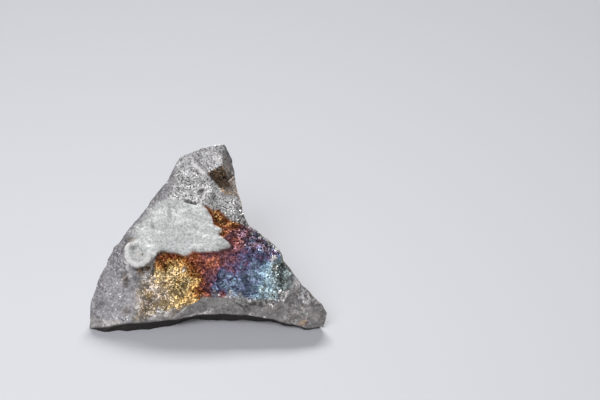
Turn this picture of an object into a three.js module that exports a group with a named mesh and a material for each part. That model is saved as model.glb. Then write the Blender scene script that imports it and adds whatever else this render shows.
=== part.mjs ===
// Lump of ferromolybdenum broken from a cast slab: one solid wedge of grey metal. It stands on an
// uneven sole, with a steep broken back, a long low tail to the right and one slope to the front.
// A sheet of pale casting skin is left on the slope as a low plateau, beside a burst gas bubble.
// Millimetres, +Z up, +X along the length, the slope faces -Y. The origin is under the box's middle.
import * as THREE from 'three';

const LENGTH = 48.4;
const DEPTH = 36.4;
const HEIGHT = 24.3;

const STEPS_PER_FACE = 8;       // small triangles along each side of a broken face
const SOFTENING_ROUNDS = 1;     // how far the edges between faces are rounded
const LOOSEN = 0.5;             // share of the way to its neighbours that a point moves in a round

const SKIN_STEP = 0.7;          // height of the casting skin above the broken metal
const SKIN_EDGE = 0.45;         // width of the step at the skin's edge
const SKIN_FADE = 5;            // distance over which the broken face climbs back to the skin's level
const SKIN_RAGGED = { length: 1.6, reach: 0.35, seed: 41 };  // waves in the line of that edge

// The uneven surface of the break, coarse to fine: smooth swells, and shallow shells with ridges
// between them.
const SWELLS = [
  { length: 7, height: 0.42, seed: 11 },
  { length: 3.1, height: 0.2, seed: 23 },
  { length: 1.5, height: 0.11, seed: 37 },
];
const SHELLS = [
  { width: 5.2, depth: 0.75, seed: 53 },
  { width: 2.3, depth: 0.28, seed: 61 },
];
const SKIN_CALM = 0.25;         // share of the shells' depth that is left on the casting skin
const CROWN_CALM = 0.4;         // on the even slope under the crown
const FLANK_CALM = 0.35;        // and on the even flank at the left
const BACK_ROUGHER = 0.9;       // how much deeper the shells of the back are

// Corners of the break, where its faces meet. Those below the ground are cut off level by it.
const corners = {
  // left toe, and the edge that climbs from it to the crown
  toeLeft: [-24.1, -16.9, 0],
  toeLeftTop: [-24.0, -14.5, 2.8],
  leftEdge1: [-22.3, -9.1, 7.6],
  leftEdge2: [-18.2, -2.9, 12.2],
  leftEdge3: [-13.3, 2.8, 16.2],
  leftEdge4: [-8.6, 7.8, 19.6],

  // crown, and the notch broken out of its right side
  crownLeft: [-6.3, 12.3, 22.5],
  crownMiddle: [-1.6, 13.4, 23.9],
  peak: [2.8, 14.2, 24.6],
  crownRight: [4.2, 14.1, 21.0],
  crownRidge: [-4.2, 11.1, 22.2],
  notchLeft: [-0.9, 8.9, 20.7],
  notchTop: [2.4, 10.0, 21.7],
  notchRight: [4.9, 11.7, 18.0],
  notchFoot: [2.7, 4.9, 17.9],
  notchCorner: [5.8, 5.0, 17.1],
  notchDeep: [3.7, 10.6, 17.0],

  // edge that falls from the notch to the tip of the tail
  rightEdge1: [7.8, -0.1, 15.0],
  rightEdge2: [12.1, -3.5, 12.9],
  rightEdge3: [15.9, -7.9, 10.4],
  rightEdge4: [18.9, -11.9, 7.8],
  tipTop: [22.9, -15.0, 5.0],
  tip: [24.1, -15.7, 3.2],
  toeRight: [23.0, -17.2, 0],
  toeRightFront: [20.1, -17.5, 0],

  // front rim, and the arched edge under it
  rim1: [-7.4, -14.8, 3.0],
  rim2: [-0.6, -14.3, 6.0],
  rim3: [7.6, -14.9, 6.2],
  rim4: [13.6, -14.8, 5.6],
  rim5: [18.7, -14.9, 4.4],
  archLeft: [-19.4, -17.9, 1.2],
  arch1: [-15.7, -17.8, 1.9],
  arch2: [-8.6, -17.2, 1.9],
  arch3: [-0.6, -15.8, 2.4],
  arch4: [7.5, -15.6, 2.4],
  arch5: [13.8, -16.7, 1.5],

  // the slope: the plateau under the casting skin, and the broken face in front of it
  plateauFrontLeft: [-10.5, -7.1, 12.0],
  plateauFrontRight: [4.6, -6.2, 12.6],
  plateauBackLeft: [-10.4, 4.1, 17.9],
  plateauBackRight: [-1.0, 1.8, 17.2],
  tongue: [3.1, -2.8, 14.4],
  bulge: [-16.7, -6.8, 9.2],
  flank: [-18.5, -11.5, 5.6],
  slope1: [-11.9, -11.4, 6.8],
  slope2: [-0.7, -10.2, 9.2],
  slope3: [9.5, -8.5, 10.5],

  // steep sides and back
  sideLeft1: [-20.0, -5.1, 6.0],
  sideLeft2: [-16.0, 3.9, 9.0],
  back1: [-10.4, 12.0, 14.0],
  back2: [-2.6, 16.6, 14.5],
  backLedge: [1.4, 17.6, 6.5],
  sideRight1: [5.4, 11.2, 13.0],
  sideRight2: [7.6, 2.9, 8.0],
  sideRight3: [13.8, -5.6, 6.0],

  // foot, all round the ground
  footLeft1: [-21.5, -9.1, -0.8],
  footLeft2: [-17.5, 0.4, -0.4],
  footLeft3: [-13.0, 8.4, -0.8],
  footBack1: [-7.4, 14.8, -0.8],
  footBack2: [1.6, 18.4, -0.8],
  footRight1: [6.4, 10.6, -0.8],
  footRight2: [8.5, 1.4, -0.2],
  footRight3: [15.0, -6.6, -0.4],
  footRight4: [20.0, -12.6, -0.8],

  // foot of the undercut, below the arched edge
  footFront1: [-21.6, -18.0, -0.2],
  footFront2: [-16.3, -17.7, -0.2],
  footFront3: [-8.6, -16.4, -0.2],
  footFront4: [-2.4, -14.7, 0.1],
  footFront5: [6.4, -14.4, 0.1],
  footFront6: [14.0, -15.2, -0.2],

  // sole
  sole1: [-15.0, -12.6, -0.8],
  sole2: [-7.0, -10.6, 0.9],
  sole3: [4.0, -10.1, 1.0],
  sole4: [13.0, -12.6, -0.8],
  soleMiddle1: [-9.0, -1.6, 1.0],
  soleMiddle2: [6.0, -2.6, 1.0],
  soleBack: [-2.0, 7.4, -0.5],
};

// Broken faces, each a triangle of three corners in the order that makes it face out.
const faces = [
  // left flank, from the toe to the plateau
  'toeLeft footFront1 archLeft', 'toeLeft archLeft toeLeftTop', 'toeLeftTop archLeft arch1',
  'toeLeftTop arch1 flank', 'toeLeftTop flank leftEdge1',
  'arch1 arch2 rim1', 'arch1 rim1 slope1', 'arch1 slope1 flank', 'flank slope1 bulge',
  'flank bulge leftEdge1', 'leftEdge1 bulge leftEdge2', 'slope1 plateauFrontLeft bulge',
  'bulge plateauFrontLeft leftEdge2', 'leftEdge2 plateauFrontLeft leftEdge3',
  'plateauFrontLeft plateauBackLeft leftEdge3', 'leftEdge3 plateauBackLeft leftEdge4',
  'plateauBackLeft crownRidge leftEdge4', 'leftEdge4 crownRidge crownLeft',

  // crown
  'plateauBackLeft plateauBackRight notchLeft', 'plateauBackLeft notchLeft crownRidge',
  'crownLeft crownRidge crownMiddle', 'crownRidge notchLeft notchTop',
  'crownRidge notchTop crownMiddle', 'crownMiddle notchTop peak', 'peak notchTop crownRight',
  'notchTop notchRight crownRight',

  // notch, and the ground between it and the right edge
  'notchLeft notchDeep notchTop', 'notchLeft notchFoot notchDeep', 'notchTop notchDeep notchRight',
  'notchDeep notchFoot notchCorner', 'notchDeep notchCorner notchRight',
  'notchLeft plateauBackRight notchFoot', 'notchFoot plateauBackRight tongue',
  'notchFoot tongue rightEdge1', 'notchFoot rightEdge1 notchCorner',

  // plateau
  'plateauBackLeft plateauFrontLeft plateauFrontRight',
  'plateauBackLeft plateauFrontRight plateauBackRight', 'plateauBackRight plateauFrontRight tongue',
  'tongue plateauFrontRight rightEdge2', 'tongue rightEdge2 rightEdge1',

  // broken face in front of the plateau, down to the rim
  'plateauFrontLeft slope1 slope2', 'plateauFrontLeft slope2 plateauFrontRight',
  'plateauFrontRight slope2 slope3', 'plateauFrontRight slope3 rightEdge2',
  'slope3 rightEdge3 rightEdge2', 'slope1 rim1 rim2', 'slope1 rim2 slope2', 'slope2 rim2 rim3',
  'slope2 rim3 slope3', 'slope3 rim3 rim4', 'slope3 rim4 rightEdge4',
  'slope3 rightEdge4 rightEdge3', 'rim4 rim5 rightEdge4', 'rim5 tipTop rightEdge4',

  // rim
  'arch2 arch3 rim2', 'arch2 rim2 rim1', 'arch3 arch4 rim3', 'arch3 rim3 rim2',
  'arch4 arch5 rim4', 'arch4 rim4 rim3', 'arch5 toeRightFront rim5', 'arch5 rim5 rim4',
  'toeRightFront toeRight tip', 'toeRightFront tip rim5', 'rim5 tip tipTop',

  // undercut
  'footFront1 footFront2 archLeft', 'archLeft footFront2 arch1', 'footFront2 footFront3 arch1',
  'arch1 footFront3 arch2', 'footFront3 footFront4 arch2', 'arch2 footFront4 arch3',
  'footFront4 footFront5 arch3', 'arch3 footFront5 arch4', 'footFront5 footFront6 arch4',
  'arch4 footFront6 arch5', 'footFront6 toeRightFront arch5',

  // left side
  'toeLeft toeLeftTop footLeft1', 'toeLeftTop leftEdge1 sideLeft1',
  'toeLeftTop sideLeft1 footLeft1', 'leftEdge1 leftEdge2 sideLeft1',
  'sideLeft1 footLeft2 footLeft1', 'leftEdge2 sideLeft2 sideLeft1',
  'sideLeft1 sideLeft2 footLeft2', 'leftEdge2 leftEdge3 sideLeft2',
  'sideLeft2 footLeft3 footLeft2', 'leftEdge3 leftEdge4 back1', 'leftEdge3 back1 sideLeft2',
  'sideLeft2 back1 footLeft3',

  // back
  'leftEdge4 crownLeft back1', 'back1 footBack1 footLeft3', 'crownLeft crownMiddle back2',
  'crownLeft back2 back1', 'back1 back2 footBack1', 'crownMiddle peak back2',
  'back2 backLedge footBack1', 'backLedge footBack2 footBack1', 'peak sideRight1 back2',
  'back2 sideRight1 backLedge', 'backLedge sideRight1 footBack2', 'peak crownRight sideRight1',
  'sideRight1 footRight1 footBack2', 'crownRight notchRight sideRight1',

  // right side
  'notchRight notchCorner sideRight2', 'notchRight sideRight2 sideRight1',
  'sideRight1 sideRight2 footRight1', 'notchCorner rightEdge1 sideRight2',
  'sideRight2 footRight2 footRight1', 'rightEdge1 rightEdge2 sideRight2',
  'rightEdge2 sideRight3 sideRight2', 'sideRight2 sideRight3 footRight2',
  'rightEdge2 rightEdge3 sideRight3', 'sideRight3 footRight3 footRight2',
  'rightEdge3 rightEdge4 sideRight3', 'rightEdge4 footRight4 sideRight3',
  'sideRight3 footRight4 footRight3', 'rightEdge4 tipTop footRight4', 'tipTop tip footRight4',
  'tip toeRight footRight4',

  // sole
  'toeLeft sole1 footFront1', 'footFront1 sole1 footFront2', 'toeLeft footLeft1 sole1',
  'footFront2 sole1 footFront3', 'footFront3 sole1 sole2', 'footFront3 sole2 footFront4',
  'footFront4 sole2 sole3', 'footFront4 sole3 footFront5', 'footFront5 sole3 sole4',
  'footFront5 sole4 footFront6', 'footFront6 sole4 toeRightFront', 'toeRightFront sole4 footRight4',
  'toeRightFront footRight4 toeRight', 'sole1 footLeft1 footLeft2', 'sole1 footLeft2 soleMiddle1',
  'sole1 soleMiddle1 sole2', 'sole2 soleMiddle1 soleMiddle2', 'sole2 soleMiddle2 sole3',
  'sole3 soleMiddle2 sole4', 'sole4 soleMiddle2 footRight3', 'sole4 footRight3 footRight4',
  'soleMiddle2 footRight2 footRight3', 'soleMiddle1 footLeft2 footLeft3',
  'soleMiddle1 soleBack soleMiddle2', 'soleMiddle2 soleBack footRight2',
  'soleBack footRight1 footRight2', 'soleMiddle1 footLeft3 soleBack', 'soleBack footLeft3 footBack1',
  'soleBack footBack1 footBack2', 'soleBack footBack2 footRight1',
];

// Large shell-shaped scoops of the break, each the mark of a ball pressed in.
const scoops = [
  { centre: [-30.5, 9.5, 9.0], radius: 16.0 },    // left side
  { centre: [-12.5, 23.5, 17.0], radius: 11.5 },  // left of the back
  { centre: [3.5, 33.0, 17.0], radius: 17.2 },    // back
  { centre: [13.5, 18.4, 19.0], radius: 10.0 },   // right of the back, under the peak
  { centre: [20.5, 6.9, 5.0], radius: 12.6 },     // hollow of the right side
  { centre: [-1.0, -3.6, -18.5], radius: 19.6 },  // sole
];

// Casting skin, seen from above: its ragged edge round the slope, closed beyond the left side.
const skinEdge = [
  [-12.3, -8.2], [-10.5, -7.2], [-8.7, -6.8], [-6.7, -6.7], [-4.6, -7.1], [-1.7, -7.1],
  [1.9, -7.0], [4.6, -6.1], [2.1, -4.0], [2.6, -2.6], [0.8, -1.9], [0.5, 0.2],
  [-0.7, 1.2], [-1.4, 1.7], [-2.8, 1.9], [-4.9, 2.6], [-15, 8.4], [-27, -0.6], [-27, -8.6],
];

// Burst bubble: a raised lip, open towards openSide, round a pit. The skin runs over the part of the
// pit that lies towards skinSide. Both are unit directions seen from above.
const bubble = {
  centre: [-14.3, -6.0, 10.9], lipRadius: 2.4, lipWidth: 0.7, lipHeight: 0.5, openSide: [0.5, 0.87],
  pitRadius: 2.0, pitDepth: 0.9, skinSide: [0.85, 0.53],
};

// Grooves, each along a line in the surface. One with a negative depth is a ridge.
const grooves = [
  { from: [15.4, -7.6, 10.8], to: [15.3, -13.0, 7.4], width: 0.9, depth: 0.7 },   // tail
  { from: [13.1, -8.0, 10.8], to: [13.8, -11.0, 9.0], width: 0.7, depth: -0.3 },  // ridge beside it
  { from: [-5.0, 3.0, 17.6], to: [-3.1, 2.6, 17.2], width: 0.35, depth: 0.5 },   // behind the skin
  { from: [-3.7, 11.2, 22.3], to: [-1.2, 8.9, 20.6], width: 0.6, depth: -0.15 },  // ridge left of the notch
];

// Pits left by smaller bubbles.
const pits = [
  { centre: [-12.5, -9.4, 9.4], width: 0.9, depth: 0.6 },
  { centre: [-17.3, -9.9, 7.2], width: 0.8, depth: 0.4 },
  { centre: [11.0, -15.0, 5.4], width: 0.9, depth: 0.5 },
  { centre: [16.7, -15.2, 4.8], width: 0.8, depth: 0.45 },
];

const smoothstep = (low, high, x) => {
  const t = Math.min(Math.max((x - low) / (high - low), 0), 1);
  return t * t * (3 - 2 * t);
};
const bell = (x) => Math.exp(-x * x);

// A repeatable number from -1 to 1 for each whole lattice point.
function latticeNumber(x, y, z, seed) {
  const s = Math.sin(x * 127.1 + y * 311.7 + z * 74.7 + seed * 19.19) * 43758.5453;
  return (s - Math.floor(s)) * 2 - 1;
}

// Smooth noise from -1 to 1 whose bumps are one wave length apart.
function swell(point, wave, seed) {
  const cell = point.clone().divideScalar(wave).floor();
  const part = point.clone().divideScalar(wave).sub(cell);
  const blend = (t) => t * t * (3 - 2 * t);
  const [u, v, w] = [blend(part.x), blend(part.y), blend(part.z)];
  let sum = 0;
  for (const i of [0, 1]) {
    for (const j of [0, 1]) {
      for (const k of [0, 1]) {
        const share = (i ? u : 1 - u) * (j ? v : 1 - v) * (k ? w : 1 - w);
        sum += share * latticeNumber(cell.x + i, cell.y + j, cell.z + k, seed);
      }
    }
  }
  return sum;
}

// Depth of a field of shallow shells, 0 on the ridges between them and up to 1 in their middles. Each
// shell is a bowl round its own point, and the points stand one to a cell at random places.
function shellDepth(point, width, seed) {
  const cell = point.clone().divideScalar(width).floor();
  let nearest = Infinity;
  for (const i of [-1, 0, 1]) {
    for (const j of [-1, 0, 1]) {
      for (const k of [-1, 0, 1]) {
        const [x, y, z] = [cell.x + i, cell.y + j, cell.z + k];
        const middle = new THREE.Vector3(
          x + 0.5 + 0.45 * latticeNumber(x, y, z, seed),
          y + 0.5 + 0.45 * latticeNumber(x, y, z, seed + 1),
          z + 0.5 + 0.45 * latticeNumber(x, y, z, seed + 2),
        );
        nearest = Math.min(nearest, middle.multiplyScalar(width).distanceTo(point) / width);
      }
    }
  }
  return 1 - Math.min(nearest, 1) ** 2;
}

// Distance from a plan point to the skin's edge, negative on the skin.
function distanceToSkin(x, y) {
  let nearest = Infinity;
  let inside = false;
  skinEdge.forEach(([ax, ay], index) => {
    const [bx, by] = skinEdge[(index + 1) % skinEdge.length];
    const [ex, ey] = [bx - ax, by - ay];
    const t = Math.min(Math.max(((x - ax) * ex + (y - ay) * ey) / (ex * ex + ey * ey), 0), 1);
    nearest = Math.min(nearest, Math.hypot(x - ax - t * ex, y - ay - t * ey));
    if ((ay > y) !== (by > y) && x < ax + ((y - ay) * ex) / ey) inside = !inside;
  });
  return inside ? -nearest : nearest;
}

// Cuts every face into a grid of small triangles, with one shared point wherever two faces meet.
function cutIntoTriangles() {
  const points = [];
  const triangles = [];
  const indexOf = new Map();
  const pointAt = (names, weights) => {
    const shares = names.map((name, k) => `${name}*${weights[k]}`);
    const label = shares.filter((share) => !share.endsWith('*0')).sort().join(' ');
    if (!indexOf.has(label)) {
      const point = new THREE.Vector3();
      names.forEach((name, k) => {
        point.addScaledVector(new THREE.Vector3(...corners[name]), weights[k] / STEPS_PER_FACE);
      });
      indexOf.set(label, points.push(point) - 1);
    }
    return indexOf.get(label);
  };
  for (const face of faces) {
    const names = face.split(' ');
    const at = (i, j) => pointAt(names, [STEPS_PER_FACE - i - j, i, j]);
    for (let i = 0; i < STEPS_PER_FACE; i += 1) {
      for (let j = 0; i + j < STEPS_PER_FACE; j += 1) {
        triangles.push([at(i, j), at(i + 1, j), at(i, j + 1)]);
        if (i + j + 1 < STEPS_PER_FACE) triangles.push([at(i + 1, j), at(i + 1, j + 1), at(i, j + 1)]);
      }
    }
  }
  return { points, triangles };
}

// Moves each point towards the middle of its neighbours, which rounds the edges between faces.
function soften(points, triangles) {
  const neighbours = points.map(() => new Set());
  for (const [a, b, c] of triangles) {
    neighbours[a].add(b).add(c);
    neighbours[b].add(c).add(a);
    neighbours[c].add(a).add(b);
  }
  const middles = points.map((point, index) => {
    const middle = new THREE.Vector3();
    for (const other of neighbours[index]) middle.add(points[other]);
    return middle.divideScalar(neighbours[index].size);
  });
  points.forEach((point, index) => point.lerp(middles[index], LOOSEN));
}

// The direction out of the surface at each point.
function outwardDirections(points, triangles) {
  const directions = points.map(() => new THREE.Vector3());
  for (const [a, b, c] of triangles) {
    const across = points[b].clone().sub(points[a]);
    const area = across.cross(points[c].clone().sub(points[a]));
    for (const index of [a, b, c]) directions[index].add(area);
  }
  return directions.map((direction) => direction.normalize());
}

function pressScoops(points) {
  for (const { centre, radius } of scoops) {
    const middle = new THREE.Vector3(...centre);
    for (const point of points) {
      const reach = point.clone().sub(middle);
      if (reach.length() < radius) point.copy(middle).addScaledVector(reach.normalize(), radius);
    }
  }
}

function roughen(points) {
  for (const { length, height, seed } of SWELLS) {
    for (const point of points) {
      const push = new THREE.Vector3(
        swell(point, length, seed),
        swell(point, length, seed + 1),
        swell(point, length, seed + 2),
      );
      point.addScaledVector(push, height);
    }
  }
}

// How far the surface sinks at a point: in the shells, round the skin, in the bubble, the grooves
// and the pits.
function sinkAt(point, outward) {
  const { length, reach, seed: edgeSeed } = SKIN_RAGGED;
  const offSkin = distanceToSkin(
    point.x + reach * swell(point, length, edgeSeed),
    point.y + reach * swell(point, length, edgeSeed + 1),
  );
  const facesUp = smoothstep(0.1, 0.4, outward.z);
  const rightOfBubble = smoothstep(-16.5, -12.5, point.x);
  const inFrontOfCrown = smoothstep(1.8, 0, point.y);
  const away = Math.exp(-Math.max(offSkin, 0) / SKIN_FADE) * facesUp * rightOfBubble * inFrontOfCrown;
  let sink = SKIN_STEP * smoothstep(0, SKIN_EDGE, offSkin) * away;

  const onSkin = smoothstep(0.5, -1, offSkin) * facesUp;
  const underCrown = smoothstep(15, 18, point.z) * facesUp;
  const backRoughness = BACK_ROUGHER * smoothstep(0.2, 0.7, outward.y);
  const onFlank = smoothstep(-12, -15, point.x) * facesUp;
  const calm = (1 - (1 - CROWN_CALM) * underCrown) * (1 - (1 - FLANK_CALM) * onFlank);
  const roughness = (1 - (1 - SKIN_CALM) * onSkin + backRoughness) * calm;
  for (const { width, depth, seed } of SHELLS) {
    sink += depth * roughness * (shellDepth(point, width, seed) - 0.7);
  }

  const fromBubble = point.distanceTo(new THREE.Vector3(...bubble.centre));
  const seenFromAbove = [point.x - bubble.centre[0], point.y - bubble.centre[1]];
  const towards = ([x, y]) => (seenFromAbove[0] * x + seenFromAbove[1] * y) / bubble.lipRadius;
  const lipHeight = bubble.lipHeight * smoothstep(0.6, 0.1, towards(bubble.openSide));
  sink -= lipHeight * bell((fromBubble - bubble.lipRadius) / bubble.lipWidth);
  const pitDepth = bubble.pitDepth * smoothstep(0.25, 0.05, towards(bubble.skinSide));
  sink += pitDepth * smoothstep(bubble.pitRadius, bubble.pitRadius / 2, fromBubble);

  for (const { from, to, width, depth } of grooves) {
    const line = new THREE.Line3(new THREE.Vector3(...from), new THREE.Vector3(...to));
    const nearest = line.closestPointToPoint(point, true, new THREE.Vector3());
    sink += depth * bell(point.distanceTo(nearest) / width);
  }
  for (const { centre, width, depth } of pits) {
    sink += depth * bell(point.distanceTo(new THREE.Vector3(...centre)) / width);
  }
  return sink;
}

// Cuts the lump off level with the ground, then brings its box to the driving sizes.
function standOnGround(points) {
  for (const point of points) point.z = Math.max(point.z, 0);
  const box = new THREE.Box3().setFromPoints(points);
  const size = box.getSize(new THREE.Vector3());
  const middle = box.getCenter(new THREE.Vector3());
  const scale = new THREE.Vector3(LENGTH, DEPTH, HEIGHT).divide(size);
  for (const point of points) {
    point.sub(new THREE.Vector3(middle.x, middle.y, 0)).multiply(scale);
  }
}

function lumpGeometry() {
  const { points, triangles } = cutIntoTriangles();
  for (let round = 0; round < SOFTENING_ROUNDS; round += 1) soften(points, triangles);
  pressScoops(points);
  roughen(points);
  const outward = outwardDirections(points, triangles);
  points.forEach((point, index) => {
    point.addScaledVector(outward[index], -sinkAt(point, outward[index]));
  });
  standOnGround(points);

  const geometry = new THREE.BufferGeometry().setFromPoints(points);
  geometry.setIndex(triangles.flat());
  geometry.computeVertexNormals();
  return geometry;
}

const ferromolybdenum = new THREE.MeshStandardMaterial({
  color: '#8f8e92', roughness: 0.45, metalness: 0.85, flatShading: true,
});

const lump = new THREE.Mesh(lumpGeometry(), ferromolybdenum);
lump.name = 'ferromolybdenum_lump';

const group = new THREE.Group();
group.add(lump);
export default group;
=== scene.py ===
import bpy
import numpy as np
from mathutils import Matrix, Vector


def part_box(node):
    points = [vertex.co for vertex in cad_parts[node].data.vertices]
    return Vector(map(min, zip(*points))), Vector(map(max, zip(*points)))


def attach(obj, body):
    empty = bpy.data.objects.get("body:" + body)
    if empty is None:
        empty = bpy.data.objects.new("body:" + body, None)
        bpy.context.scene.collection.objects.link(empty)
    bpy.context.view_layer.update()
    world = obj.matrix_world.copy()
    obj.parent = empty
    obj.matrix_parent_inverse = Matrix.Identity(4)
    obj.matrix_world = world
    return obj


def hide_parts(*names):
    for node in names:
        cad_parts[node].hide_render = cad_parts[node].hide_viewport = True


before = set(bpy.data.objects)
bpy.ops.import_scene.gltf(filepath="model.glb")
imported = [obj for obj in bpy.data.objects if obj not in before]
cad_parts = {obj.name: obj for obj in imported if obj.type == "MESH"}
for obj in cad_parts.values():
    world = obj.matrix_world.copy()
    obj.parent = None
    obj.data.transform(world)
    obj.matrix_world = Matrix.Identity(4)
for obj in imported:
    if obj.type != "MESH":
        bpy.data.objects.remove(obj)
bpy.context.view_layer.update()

# ---- Camera -------------------------------------------------------------------------------------
# A 100 mm lens on a full-frame camera, 0.35 m from the lump and 35 degrees above the table, with
# the lump in the left half of the view.
LENS_MM = 100.0
SENSOR_MM = 36.0
CAMERA_PLACE = Vector((0.0187, -0.2801, 0.2162))
CAMERA_DOWN_DEGREES = 35.0

camera = bpy.data.objects.new("camera", bpy.data.cameras.new("camera"))
camera.data.lens = LENS_MM
camera.data.sensor_width = SENSOR_MM
camera.data.clip_start = 0.01
camera.location = CAMERA_PLACE
camera.rotation_euler = (np.radians(90.0 - CAMERA_DOWN_DEGREES), 0.0, 0.0)
bpy.context.scene.collection.objects.link(camera)
bpy.context.scene.camera = camera


# ---- Table --------------------------------------------------------------------------------------
# A sheet of matt white card, wide enough to fill the view, with painted light fall-off: palest in
# front of the lump and greyer towards the back. It is not part of the object.
def linear(hex_colour):
    """sRGB hex to linear RGBA: c/12.92 up to 0.04045, and ((c + 0.055)/1.055)^2.4 above it."""
    srgb = np.array([int(hex_colour[k:k + 2], 16) for k in (1, 3, 5)]) / 255.0
    low, high = srgb / 12.92, ((srgb + 0.055) / 1.055) ** 2.4
    return (*np.where(srgb <= 0.04045, low, high), 1.0)


def add_node(tree, kind, inputs=None, **settings):
    """Adds a node of this kind, sets its properties, and gives each named input a value or a link. The
    link comes from an output, or from the first output in use of a whole node."""
    node = tree.nodes.new(kind)
    for name, value in settings.items():
        setattr(node, name, value)
    for name, value in (inputs or {}).items():
        if isinstance(value, bpy.types.Node):
            value = next(output for output in value.outputs if output.enabled)
        if isinstance(value, bpy.types.NodeSocket):
            tree.links.new(value, node.inputs[name])
        else:
            node.inputs[name].default_value = value
    return node


def new_material(name):
    """A material with an empty node tree."""
    material = bpy.data.materials.new(name)
    material.use_nodes = True
    material.node_tree.nodes.clear()
    return material, material.node_tree


TABLE_REACH = 1.5               # from its middle to each side
PALEST_PLACE = (-0.01, -0.05, 0.0)
GREYEST_AT = 0.36               # this far from the palest place

# matt white card, pressed from paper pulp and left uncoated, so it scatters light and has no shine
card, tree = new_material("matt white card")
place = add_node(tree, "ShaderNodeTexCoord").outputs["Object"]
# painted light fall-off: the card greys with distance from its palest place
far = add_node(tree, "ShaderNodeVectorMath", {0: place, 1: PALEST_PLACE}, operation="DISTANCE")
far = add_node(tree, "ShaderNodeMapRange", {"Value": far, "From Max": GREYEST_AT},
               interpolation_type="SMOOTHSTEP")
shade = add_node(tree, "ShaderNodeMix", {0: far, 6: linear("#bbbcbf"), 7: linear("#989a9e")},
                 data_type="RGBA")
shader = add_node(tree, "ShaderNodeBsdfPrincipled", {"Base Color": shade, "Roughness": 0.9})
add_node(tree, "ShaderNodeOutputMaterial", {"Surface": shader})

table_mesh = bpy.data.meshes.new("table")
table_corners = [(x * TABLE_REACH, y * TABLE_REACH, 0.0) for x, y in ((-1, -1), (1, -1), (1, 1), (-1, 1))]
table_mesh.from_pydata(table_corners, [], [(0, 1, 2, 3)])
table_mesh.materials.append(card)
table = bpy.data.objects.new("table", table_mesh)
bpy.context.scene.collection.objects.link(table)


# ---- Studio light -------------------------------------------------------------------------------
# A long low softbox behind the lump, which throws its shadow forwards, a square one above it to the
# front left, and a pale room.
def softbox(name, place, aim, width, height, watts, colour):
    """A rectangular area light at place that faces aim, its width level."""
    light = bpy.data.lights.new(name, "AREA")
    light.shape = "RECTANGLE"
    light.size, light.size_y = width, height
    light.energy = watts
    light.color = linear(colour)[:3]
    holder = bpy.data.objects.new(name, light)
    holder.location = place
    holder.rotation_euler = (Vector(aim) - Vector(place)).to_track_quat("-Z", "Y").to_euler()
    bpy.context.scene.collection.objects.link(holder)


LIT_PLACE = (0.0, 0.0, 0.01)
softbox("softbox behind", (0.0, 1.67, 1.10), LIT_PLACE, 1.10, 0.24, 55.0, "#ffffff")
softbox("softbox above", (-0.12, -0.18, 0.35), LIT_PLACE, 0.34, 0.34, 1.2, "#fbfaff")

room = bpy.data.worlds.new("pale room")
room.use_nodes = True
room.node_tree.nodes["Background"].inputs["Color"].default_value = linear("#dfe0e7")
room.node_tree.nodes["Background"].inputs["Strength"].default_value = 0.30
bpy.context.scene.world = room
bpy.context.scene.view_settings.view_transform = "Standard"


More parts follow.
